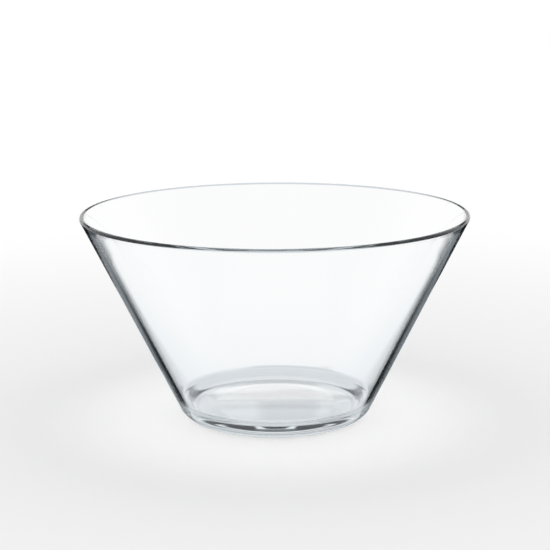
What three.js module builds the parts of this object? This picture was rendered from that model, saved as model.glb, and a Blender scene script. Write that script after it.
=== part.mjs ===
// A clear glass salad bowl: a straight flared cone on a thick rounded base, with a fire-polished lip.
// Millimetres, +Z up. The origin is on the axis, in the plane that the bowl stands on.
// The bowl is one continuous body of glass. It is built as the three zones that its maker works it in:
// the gathered base, the drawn wall and the polished rim, which meet face to face on flat rings.
import * as THREE from "three";

// Driving dimensions
const RIM_DIAMETER = 250; // across the outside of the lip
const HEIGHT = 135; // from the table to the top of the lip
const OUTER_FLARE = THREE.MathUtils.degToRad(26.35); // lean of the outside from the vertical
const INNER_FLARE = THREE.MathUtils.degToRad(26.8); // a little more, so the glass thickens downwards
const LIP_THICKNESS = 3;
const FLOOR_THICKNESS = 11;
const HEEL_RADIUS = 15; // outside curve from the standing ring into the wall
const CORNER_RADIUS = 10; // inside curve from the floor into the wall
const PUNT_RADIUS = 40; // shallow hollow under the base, inside the ring that the bowl stands on
const PUNT_DEPTH = 0.5;

// Where one zone ends and the next begins
const BASE_TOP = 18; // just above the heel and the inside corner
const RIM_DEPTH = 4; // height of the polished rim

// Fineness of the turned surfaces
const TURN_STEPS = 96;
const BASE_STEPS = 7; // for each curve of the base
const LIP_STEPS = 3; // for each of the lip's arcs

// The lip is a half round. Both faces of the wall run down from it as straight lines in section.
const lipRadius = LIP_THICKNESS / 2;
const lip = new THREE.Vector2(RIM_DIAMETER / 2 - lipRadius, HEIGHT - lipRadius);
const rimBottom = HEIGHT - RIM_DEPTH;

// Radius of the wall's outside at height z: the line that leaves the lip's half round on the outside.
function outerRadius(z) {
  const start = new THREE.Vector2(Math.cos(OUTER_FLARE), -Math.sin(OUTER_FLARE));
  start.multiplyScalar(lipRadius).add(lip);
  return start.x + (z - start.y) * Math.tan(OUTER_FLARE);
}

// Radius of the wall's inside at height z: the line that leaves the half round on the inside.
function innerRadius(z) {
  const start = new THREE.Vector2(-Math.cos(INNER_FLARE), Math.sin(INNER_FLARE));
  start.multiplyScalar(lipRadius).add(lip);
  return start.x + (z - start.y) * Math.tan(INNER_FLARE);
}

// Base: the punt, the ring it stands on, the heel, the joint with the wall, the inside corner and the floor.
// The heel and the corner are arcs that touch the wall's line and the table or the floor.
function baseProfile() {
  const puntSphere = (PUNT_RADIUS ** 2 + PUNT_DEPTH ** 2) / (2 * PUNT_DEPTH);
  const puntAngle = Math.asin(PUNT_RADIUS / puntSphere);
  const heelCentre = outerRadius(HEEL_RADIUS) - HEEL_RADIUS / Math.cos(OUTER_FLARE);
  const cornerHeight = FLOOR_THICKNESS + CORNER_RADIUS;
  const cornerCentre = innerRadius(cornerHeight) - CORNER_RADIUS / Math.cos(INNER_FLARE);
  const down = -Math.PI / 2;

  const profile = new THREE.Path();
  profile.absarc(0, PUNT_DEPTH - puntSphere, puntSphere, -down, -down - puntAngle, true);
  profile.absarc(heelCentre, HEEL_RADIUS, HEEL_RADIUS, down, -OUTER_FLARE, false);
  profile.lineTo(outerRadius(BASE_TOP), BASE_TOP);
  profile.lineTo(innerRadius(BASE_TOP), BASE_TOP);
  profile.absarc(cornerCentre, cornerHeight, CORNER_RADIUS, -INNER_FLARE, down, true);
  profile.lineTo(0, FLOOR_THICKNESS);
  return profile;
}

// Wall: the cone between the base and the rim.
function wallProfile() {
  const profile = new THREE.Path();
  profile.moveTo(outerRadius(BASE_TOP), BASE_TOP);
  profile.lineTo(outerRadius(rimBottom), rimBottom);
  profile.lineTo(innerRadius(rimBottom), rimBottom);
  profile.lineTo(innerRadius(BASE_TOP), BASE_TOP);
  profile.lineTo(outerRadius(BASE_TOP), BASE_TOP);
  return profile;
}

// Rim: the last of the cone, closed by the half round of the lip, in arcs that meet at its widest and top.
function rimProfile() {
  const profile = new THREE.Path();
  profile.moveTo(outerRadius(rimBottom), rimBottom);
  profile.lineTo(
    lip.x + lipRadius * Math.cos(OUTER_FLARE),
    lip.y - lipRadius * Math.sin(OUTER_FLARE),
  );
  profile.absarc(lip.x, lip.y, lipRadius, -OUTER_FLARE, 0, false);
  profile.absarc(lip.x, lip.y, lipRadius, 0, Math.PI / 2, false);
  profile.absarc(lip.x, lip.y, lipRadius, Math.PI / 2, Math.PI - INNER_FLARE, false);
  profile.lineTo(innerRadius(rimBottom), rimBottom);
  profile.lineTo(outerRadius(rimBottom), rimBottom);
  return profile;
}

// Turns a profile of radius and height about the vertical axis, in clear glass.
function turned(name, profile, steps) {
  const geometry = new THREE.LatheGeometry(profile.getPoints(steps), TURN_STEPS);
  geometry.rotateX(Math.PI / 2);
  const glass = new THREE.MeshStandardMaterial({
    color: 0xe3eaec,
    roughness: 0.02,
    metalness: 0,
    transparent: true,
    opacity: 0.35,
  });
  const mesh = new THREE.Mesh(geometry, glass);
  mesh.name = name;
  return mesh;
}

const bowl = new THREE.Group();
bowl.name = "salad_bowl";
bowl.add(turned("bowl_base", baseProfile(), BASE_STEPS));
bowl.add(turned("bowl_wall", wallProfile(), BASE_STEPS));
bowl.add(turned("bowl_rim", rimProfile(), LIP_STEPS));

export default bowl;
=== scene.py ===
"""A clear glass salad bowl on a pale table, in soft studio light."""
import math

import bpy
import numpy as np
from mathutils import Matrix


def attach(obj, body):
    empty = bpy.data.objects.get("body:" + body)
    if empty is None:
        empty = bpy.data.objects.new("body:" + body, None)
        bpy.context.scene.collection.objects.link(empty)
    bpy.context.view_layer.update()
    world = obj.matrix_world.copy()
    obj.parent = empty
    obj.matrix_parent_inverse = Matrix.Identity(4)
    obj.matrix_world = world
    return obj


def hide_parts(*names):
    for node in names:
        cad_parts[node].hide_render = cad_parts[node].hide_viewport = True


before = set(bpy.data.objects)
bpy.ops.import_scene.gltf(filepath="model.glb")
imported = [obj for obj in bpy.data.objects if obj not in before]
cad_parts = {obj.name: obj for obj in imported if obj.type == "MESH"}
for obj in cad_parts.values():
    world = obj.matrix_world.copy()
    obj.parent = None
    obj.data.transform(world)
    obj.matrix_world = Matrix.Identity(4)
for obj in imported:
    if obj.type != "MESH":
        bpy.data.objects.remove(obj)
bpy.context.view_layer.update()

# Section of the glass, in metres, with its angles in degrees
RIM_RADIUS = 0.125
HEIGHT = 0.135
OUTER_FLARE = math.radians(26.35)
INNER_FLARE = math.radians(26.8)
LIP_RADIUS = 0.0015
FLOOR_THICKNESS = 0.011
HEEL_RADIUS = 0.015
CORNER_RADIUS = 0.010
PUNT_RADIUS = 0.040
PUNT_DEPTH = 0.0005

# Fineness of the turned glass: round the axis, and along each arc and line of the section
TURN_STEPS = 288
ARC_STEPS = 32
WALL_STEPS = 24
RING_STEPS = 2
FLOOR_STEPS = 4

# Plain white, as a colour
WHITE = (1, 1, 1, 1)

# Glass: its faint tint by the metre, and the slow waves and uneven polish of its surface
GLASS_IOR = 1.52
TINT = (0.4, 0.5, 0.55, 1.0)
TINT_DENSITY = 3.33
WAVE_SCALE = 16.0
WAVE_DETAIL = 1.0
WAVE_HEIGHT = 0.00006
POLISH_SCALE = 60.0
POLISH_DETAIL = 3.0
POLISH_START = 0.4
POLISH_END = 0.7
POLISH_BEST = 0.0
POLISH_WORST = 0.012

# Camera, in metres, degrees and pixels of the square picture. The sensor is in millimetres.
PICTURE_SIDE = 550
CAMERA_DISTANCE = 1.05
CAMERA_HEIGHT = 0.3175
CAMERA_PITCH = math.radians(12.04)
CAMERA_ROLL = math.radians(0.30)
FOCAL_PIXELS = 1657.0
SENSOR_WIDTH = 36.0

# Table: a painted pool of light round the bowl's foot, seen only by the camera, and how much whiter it looks
# to the camera far away
TABLE_SIDE = 6.0
TABLE_DROP = 0.0002
TABLE_COLOUR = (0.9, 0.9, 0.9, 1)
TABLE_ROUGHNESS = 0.8
GLOW_NEAR = 0.055
GLOW_FAR = 0.17
GLOW_LEVEL = 0.28
WHITE_NEAR = 0.2
WHITE_FAR = 0.8
WHITE_LEVEL = 0.11

# Studio, which only the glass shows. Heights are sines of the angle of rise, edges across are cosines of the
# turn, counted from straight behind the bowl or from the middle of a panel, and levels are shares of white.

# White panels all round, and the gaps between them: grey at the top, nearly black and sharper lower down
PANELS = 8
PANEL_DARK = -0.75
PANEL_LIGHT = -0.1
LOW_DARK = 0.2
LOW_LIGHT = 0.6
NARROW_START = -0.34
NARROW_END = -0.46
SOFT_START = -0.285
SOFT_END = -0.33
GAP_LEVEL = 0.30
GAP_DEEP = 0.008
DEEP_START = -0.36
DEEP_END = -0.45
GAP_FOOT = -0.58
GAP_START = -0.53
GAP_END = -0.23
GAP_TOP = -0.16

# Dark wedge at the head of each gap, above a line that slopes down to the gap's middle
WEDGE_RISE = -0.258
WEDGE_SLOPE = 0.07
WEDGE_FADE = 0.0045
WEDGE_DARK = -0.3
WEDGE_LIGHT = 0.15
WEDGE_LEVEL = 0.03

# Faint grey strip on the panel behind the bowl
STRIP_TURN = math.radians(1.0)
STRIP_EDGE = 0.9989
STRIP_FULL = 0.9996
STRIP_LEVEL = 0.82
STRIP_FOOT = -0.37
STRIP_TOP = -0.285
STRIP_FADE = 0.006

# Ground: painted shade for the table in the bowl's shadow, grey behind the bowl, paler on the other sides,
# and white straight down
GROUND_EDGE = -0.22
GROUND_FULL = -0.46
GROUND_SHADE_LEVEL = 0.725
GROUND_SHADE_ROUND = 0.93
BEHIND_END = 0.79
BEHIND_FULL = 0.94
NADIR_EDGE = -0.80
NADIR_FULL = -0.88

# Dark beams behind the bowl and in front of it, each with a bright slit and a pale shelf over the slit
BEAMS = 2
BEAM_DARK = 0.34
BEAM_LIGHT = 0.0
BEAM_EDGE = 0.232
BEAM_FULL = 0.246
BEAM_END = 0.32
BEAM_TOP = 0.36
BEAM_LEVEL = 0.02
SLIT_RISE = 0.2735
SLIT_HALF = 0.002
SLIT_FADE = 0.005
SLIT_END = 0.2
SLIT_FULL = 0.6
SHELF_RISE = 0.2895
SHELF_HALF = 0.0085
SHELF_FADE = 0.0115
SHELF_LEVEL = 0.45

# Ceiling: pale grey, and white overhead
CEILING_EDGE = 0.34
CEILING_FULL = 0.60
CEILING_LEVEL = 0.68
ZENITH_EDGE = 0.72
ZENITH_FULL = 0.80

# Blue cast of what is dark, and of the ground
DARK_TINT = (0.76, 0.90, 1.0, 1)
TINT_END = 1.0
COOL_EDGE = -0.24
COOL_FULL = -0.33
COOL_SHARE = 0.72

# How often light may turn inside the glass before it is lost
GLASS_BOUNCES = 40


def wall_radius(height, flare, side):
    """Radius of one face of the wall: the straight line that leaves the lip's half round at its flare."""
    start_radius = RIM_RADIUS - LIP_RADIUS + side * LIP_RADIUS * math.cos(flare)
    start_height = HEIGHT - LIP_RADIUS - side * LIP_RADIUS * math.sin(flare)
    return start_radius + (height - start_height) * math.tan(flare)


def arc(centre, radius, start, end):
    """Points of a circle about centre, from angle start to angle end, as radius and height."""
    angle = np.linspace(start, end, ARC_STEPS + 1)
    return np.column_stack([centre[0] + radius * np.cos(angle), centre[1] + radius * np.sin(angle)])


def line(start, end, steps):
    """Points evenly spread along a straight line."""
    share = np.linspace(0, 1, steps + 1)[:, None]
    return np.array(start) * (1 - share) + np.array(end) * share


def glass_section():
    """The closed half section of the bowl, from the middle of the punt round to the middle of the floor.

    The heel is a circle that touches the table and the wall's outer line, and the corner a circle that
    touches the floor and the wall's inner line.
    """
    down = -math.pi / 2
    punt_sphere = (PUNT_RADIUS ** 2 + PUNT_DEPTH ** 2) / (2 * PUNT_DEPTH)
    punt_angle = math.asin(PUNT_RADIUS / punt_sphere)
    heel_centre = wall_radius(HEEL_RADIUS, OUTER_FLARE, 1) - HEEL_RADIUS / math.cos(OUTER_FLARE)
    corner_height = FLOOR_THICKNESS + CORNER_RADIUS
    corner_centre = wall_radius(corner_height, INNER_FLARE, -1) - CORNER_RADIUS / math.cos(INNER_FLARE)
    lip_centre = (RIM_RADIUS - LIP_RADIUS, HEIGHT - LIP_RADIUS)
    punt = arc((0, PUNT_DEPTH - punt_sphere), punt_sphere, -down, -down - punt_angle)
    heel = arc((heel_centre, HEEL_RADIUS), HEEL_RADIUS, down, -OUTER_FLARE)
    lip = arc(lip_centre, LIP_RADIUS, -OUTER_FLARE, math.pi - INNER_FLARE)
    corner = arc((corner_centre, corner_height), CORNER_RADIUS, -INNER_FLARE, down)
    pieces = [
        punt,
        line(punt[-1], heel[0], RING_STEPS)[1:-1],
        heel,
        line(heel[-1], lip[0], WALL_STEPS)[1:-1],
        lip,
        line(lip[-1], corner[0], WALL_STEPS)[1:-1],
        corner,
        line(corner[-1], (0, FLOOR_THICKNESS), FLOOR_STEPS)[1:],
    ]
    return np.vstack(pieces)


def turned_mesh(name, section):
    """Turns a section of radius and height about Z: point (r, z) at angle a goes to (r cos a, r sin a, z).

    The first and last points lie on the axis and become one vertex each, closed by a fan.
    """
    rings = section[1:-1]
    angle = np.arange(TURN_STEPS) * 2 * math.pi / TURN_STEPS
    x = rings[:, :1] * np.cos(angle)
    y = rings[:, :1] * np.sin(angle)
    z = np.repeat(rings[:, 1:], TURN_STEPS, axis=1)
    grid = np.stack([x, y, z], axis=-1).reshape(-1, 3)
    poles = np.array([[0, 0, section[0, 1]], [0, 0, section[-1, 1]]])
    vertices = np.vstack([grid, poles])
    ring, turn = np.meshgrid(np.arange(len(rings) - 1), np.arange(TURN_STEPS), indexing="ij")
    after = (turn + 1) % TURN_STEPS
    here = ring * TURN_STEPS
    there = here + TURN_STEPS
    quads = np.stack([here + turn, here + after, there + after, there + turn], axis=-1)
    around = np.arange(TURN_STEPS)
    beside = (around + 1) % TURN_STEPS
    last = (len(rings) - 1) * TURN_STEPS
    under = np.stack([np.full(TURN_STEPS, len(grid)), beside, around], axis=-1)
    over = np.stack([np.full(TURN_STEPS, len(grid) + 1), last + around, last + beside], axis=-1)
    faces = quads.reshape(-1, 4).tolist() + under.tolist() + over.tolist()
    mesh = bpy.data.meshes.new(name)
    mesh.from_pydata(vertices.tolist(), [], faces)
    mesh.polygons.foreach_set("use_smooth", np.ones(len(faces), bool))
    mesh.update()
    return mesh


def feed(tree, sockets, values):
    """Gives each socket its value, which is a number or another node's output."""
    for socket, value in zip(sockets, values):
        if isinstance(value, (int, float)):
            socket.default_value = value
        else:
            tree.links.new(value, socket)


def reckon(tree, operation, *values):
    """The result of one sum on numbers or on other nodes' outputs."""
    node = tree.nodes.new("ShaderNodeMath")
    node.operation = operation
    feed(tree, node.inputs, values)
    return node.outputs["Value"]


def step(tree, value, start, end, low, high):
    """A soft step of value: low at start and before it, high at end and after it."""
    node = tree.nodes.new("ShaderNodeMapRange")
    node.interpolation_type = "SMOOTHSTEP"
    names = ("Value", "From Min", "From Max", "To Min", "To Max")
    feed(tree, [node.inputs[name] for name in names], (value, start, end, low, high))
    return node.outputs["Result"]


def offset(tree, value, middle):
    """How far value is from middle, to either side."""
    return reckon(tree, "ABSOLUTE", reckon(tree, "SUBTRACT", value, middle))


def clouds(tree, scale, detail):
    """Soft noise on the piece's own coordinates, from about 0 to 1, with scale waves to the metre."""
    place = tree.nodes.new("ShaderNodeTexCoord")
    noise = tree.nodes.new("ShaderNodeTexNoise")
    noise.inputs["Scale"].default_value = scale
    noise.inputs["Detail"].default_value = detail
    tree.links.new(place.outputs["Object"], noise.inputs["Vector"])
    return noise.outputs["Fac"]


def clear_glass():
    """Pressed clear glass: slow waves in its skin, an uneven polish, and a faint grey-blue in its depth."""
    material = bpy.data.materials.new("clear_glass")
    material.use_nodes = True
    tree = material.node_tree
    shader = tree.nodes["Principled BSDF"]
    shader.inputs["Base Color"].default_value = WHITE
    shader.inputs["Transmission Weight"].default_value = 1.0
    shader.inputs["IOR"].default_value = GLASS_IOR
    waves = tree.nodes.new("ShaderNodeBump")
    waves.inputs["Strength"].default_value = 1.0
    waves.inputs["Distance"].default_value = WAVE_HEIGHT
    tree.links.new(clouds(tree, WAVE_SCALE, WAVE_DETAIL), waves.inputs["Height"])
    tree.links.new(waves.outputs["Normal"], shader.inputs["Normal"])
    rubbing = clouds(tree, POLISH_SCALE, POLISH_DETAIL)
    polish = step(tree, rubbing, POLISH_START, POLISH_END, POLISH_BEST, POLISH_WORST)
    tree.links.new(polish, shader.inputs["Roughness"])
    depth = tree.nodes.new("ShaderNodeVolumeAbsorption")
    depth.inputs["Color"].default_value = TINT
    depth.inputs["Density"].default_value = TINT_DENSITY
    tree.links.new(depth.outputs["Volume"], tree.nodes["Material Output"].inputs["Volume"])
    return material


def glass_bowl():
    """The whole bowl as one continuous body of glass."""
    bowl = bpy.data.objects.new("glass_bowl", turned_mesh("glass_bowl", glass_section()))
    bpy.context.scene.collection.objects.link(bowl)
    bowl.data.materials.append(clear_glass())
    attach(bowl, "root")
    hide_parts("bowl_base", "bowl_wall", "bowl_rim")


def camera():
    """The camera, in front of the bowl and a little above its rim."""
    lens = bpy.data.cameras.new("camera")
    lens.sensor_width = SENSOR_WIDTH
    lens.lens = FOCAL_PIXELS * SENSOR_WIDTH / PICTURE_SIDE
    eye = bpy.data.objects.new("camera", lens)
    eye.location = (0, -CAMERA_DISTANCE, CAMERA_HEIGHT)
    tilt = Matrix.Rotation(math.pi / 2 - CAMERA_PITCH, 3, "X") @ Matrix.Rotation(-CAMERA_ROLL, 3, "Z")
    eye.rotation_euler = tilt.to_euler()
    bpy.context.scene.collection.objects.link(eye)
    bpy.context.scene.camera = eye


def pale_table():
    """Matt and pale, and a little whiter to the camera than its light alone would make it: a painted pool of
    light round the bowl's foot, and white far away.
    """
    material = bpy.data.materials.new("pale_table")
    material.use_nodes = True
    tree = material.node_tree
    place = tree.nodes.new("ShaderNodeTexCoord")
    length = tree.nodes.new("ShaderNodeVectorMath")
    length.operation = "LENGTH"
    tree.links.new(place.outputs["Object"], length.inputs[0])
    distance = length.outputs["Value"]
    matt = tree.nodes["Principled BSDF"]
    matt.inputs["Base Color"].default_value = TABLE_COLOUR
    matt.inputs["Roughness"].default_value = TABLE_ROUGHNESS
    matt.inputs["Specular IOR Level"].default_value = 0.0
    matt.inputs["Emission Color"].default_value = WHITE
    # Painted light: a pool of light round the bowl's foot that lifts its shadow there, seen only by the
    # camera
    glow = step(tree, distance, GLOW_NEAR, GLOW_FAR, GLOW_LEVEL, 0.0)
    white = step(tree, distance, WHITE_NEAR, WHITE_FAR, 0.0, WHITE_LEVEL)
    ray = tree.nodes.new("ShaderNodeLightPath")
    shown = reckon(tree, "MULTIPLY", reckon(tree, "ADD", glow, white), ray.outputs["Is Camera Ray"])
    tree.links.new(shown, matt.inputs["Emission Strength"])
    return material


def table():
    """A flat square table top, just clear of the ring that the bowl stands on.

    The glass doesn't show it: the studio's ground stands in for it there, with the table's shade painted in.
    """
    side = TABLE_SIDE
    corners = [(x, y, -TABLE_DROP) for x, y in ((-side, -side), (side, -side), (side, side), (-side, side))]
    mesh = bpy.data.meshes.new("table")
    mesh.from_pydata(corners, [], [(0, 1, 2, 3)])
    mesh.materials.append(pale_table())
    top = bpy.data.objects.new("table", mesh)
    top.visible_glossy = False
    top.visible_transmission = False
    bpy.context.scene.collection.objects.link(top)


def panel_level(tree, wave, rise):
    """White panels and the dark gaps between them. Wave is 1 in a panel's middle and -1 in a gap's."""
    dark_below = step(tree, rise, NARROW_END, NARROW_START, LOW_DARK, PANEL_DARK)
    light_below = step(tree, rise, SOFT_END, SOFT_START, LOW_LIGHT, PANEL_LIGHT)
    gap_below = step(tree, rise, DEEP_END, DEEP_START, GAP_DEEP, GAP_LEVEL)
    wedge_foot = reckon(tree, "MULTIPLY_ADD", wave, WEDGE_SLOPE, WEDGE_RISE)
    wedge = reckon(tree, "SUBTRACT", rise, wedge_foot)
    dark_edge = step(tree, wedge, -WEDGE_FADE, WEDGE_FADE, dark_below, WEDGE_DARK)
    light_edge = step(tree, wedge, -WEDGE_FADE, WEDGE_FADE, light_below, WEDGE_LIGHT)
    gap = step(tree, wedge, -WEDGE_FADE, WEDGE_FADE, gap_below, WEDGE_LEVEL)
    panel = step(tree, wave, dark_edge, light_edge, gap, 1.0)
    footed = step(tree, rise, GAP_FOOT, GAP_START, 1.0, panel)
    return step(tree, rise, GAP_END, GAP_TOP, footed, 1.0)


def strip_level(tree, turn, rise):
    """The grey strip, soft at its sides and its ends."""
    across = reckon(tree, "COSINE", reckon(tree, "SUBTRACT", turn, STRIP_TURN))
    dimmed = step(tree, across, STRIP_EDGE, STRIP_FULL, 1.0, STRIP_LEVEL)
    reach = (STRIP_TOP - STRIP_FOOT) / 2
    along = offset(tree, rise, (STRIP_FOOT + STRIP_TOP) / 2)
    return step(tree, along, reach, reach + STRIP_FADE, dimmed, 1.0)


def ground_level(tree, turn, rise):
    """The ground's painted shade, which deepens downwards and ends in white straight down."""
    behind = reckon(tree, "COSINE", turn)
    # Painted shade: greyer behind the bowl, for the table in the bowl's shadow as the glass shows it
    tone = step(tree, behind, BEHIND_END, BEHIND_FULL, GROUND_SHADE_ROUND, GROUND_SHADE_LEVEL)
    ground = step(tree, rise, GROUND_FULL, GROUND_EDGE, tone, 1.0)
    nadir = step(tree, rise, NADIR_FULL, NADIR_EDGE, 1.0, 0.0)
    return reckon(tree, "MAXIMUM", ground, nadir)


def beam_level(tree, turn, wave, rise):
    """The two dark beams, with the slit and the shelf where a panel stands under them."""
    across = reckon(tree, "COSINE", reckon(tree, "MULTIPLY", turn, BEAMS))
    dark = step(tree, across, BEAM_LIGHT, BEAM_DARK, 1.0, BEAM_LEVEL)
    slit = step(tree, offset(tree, rise, SLIT_RISE), SLIT_HALF, SLIT_FADE, 1.0, 0.0)
    shelf = step(tree, offset(tree, rise, SHELF_RISE), SHELF_HALF, SHELF_FADE, SHELF_LEVEL, 0.0)
    over_panel = step(tree, wave, SLIT_END, SLIT_FULL, 0.0, 1.0)
    bright = reckon(tree, "MULTIPLY", reckon(tree, "MAXIMUM", shelf, slit), over_panel)
    beam = step(tree, rise, BEAM_EDGE, BEAM_FULL, 1.0, reckon(tree, "MAXIMUM", dark, bright))
    return step(tree, rise, BEAM_END, BEAM_TOP, beam, 1.0)


def ceiling_level(tree, rise):
    """The ceiling's tone, which ends in white overhead."""
    ceiling = step(tree, rise, CEILING_EDGE, CEILING_FULL, 1.0, CEILING_LEVEL)
    zenith = step(tree, rise, ZENITH_EDGE, ZENITH_FULL, 0.0, 1.0)
    return reckon(tree, "MAXIMUM", ceiling, zenith)


def studio_tint(tree, strength, rise, plain):
    """The studio's colour: bluer the darker it is, a little blue low down, and white where it is plain."""
    cool = step(tree, rise, COOL_FULL, COOL_EDGE, COOL_SHARE, 1.0)
    bright = step(tree, strength, 0.0, TINT_END, 0.0, 1.0)
    neutral = reckon(tree, "MULTIPLY", bright, cool)
    colour = tree.nodes.new("ShaderNodeMix")
    colour.data_type = "RGBA"
    tinted, white = [socket for socket in colour.inputs if socket.type == "RGBA"]
    tinted.default_value = DARK_TINT
    white.default_value = WHITE
    tree.links.new(reckon(tree, "MAXIMUM", neutral, plain), colour.inputs["Factor"])
    (shown,) = [socket for socket in colour.outputs if socket.type == "RGBA"]
    return shown


def studio_light():
    """The studio that the glass shows: panels, strip, ground, beams and ceiling, each dimming the white.

    What the camera sees directly, and the light that falls on matt surfaces, is plain white.
    """
    world = bpy.data.worlds.new("studio")
    world.use_nodes = True
    tree = world.node_tree
    place = tree.nodes.new("ShaderNodeTexCoord")
    direction = tree.nodes.new("ShaderNodeSeparateXYZ")
    tree.links.new(place.outputs["Generated"], direction.inputs["Vector"])
    turn = reckon(tree, "ARCTAN2", direction.outputs["X"], direction.outputs["Y"])
    wave = reckon(tree, "COSINE", reckon(tree, "MULTIPLY", turn, PANELS))
    rise = direction.outputs["Z"]
    level = panel_level(tree, wave, rise)
    level = reckon(tree, "MULTIPLY", level, strip_level(tree, turn, rise))
    level = reckon(tree, "MULTIPLY", level, ground_level(tree, turn, rise))
    level = reckon(tree, "MULTIPLY", level, beam_level(tree, turn, wave, rise))
    level = reckon(tree, "MULTIPLY", level, ceiling_level(tree, rise))
    ray = tree.nodes.new("ShaderNodeLightPath")
    plain = reckon(tree, "MAXIMUM", ray.outputs["Is Camera Ray"], ray.outputs["Diffuse Depth"])
    strength = reckon(tree, "MINIMUM", reckon(tree, "MAXIMUM", level, plain), 1.0)
    background = tree.nodes["Background"]
    tree.links.new(strength, background.inputs["Strength"])
    tree.links.new(studio_tint(tree, strength, rise, plain), background.inputs["Color"])
    world.cycles.sampling_method = "NONE"
    bpy.context.scene.world = world


camera()
glass_bowl()
table()
studio_light()
scene = bpy.context.scene
scene.view_settings.view_transform = "Standard"
scene.cycles.max_bounces = GLASS_BOUNCES
scene.cycles.transmission_bounces = GLASS_BOUNCES
scene.cycles.glossy_bounces = GLASS_BOUNCES
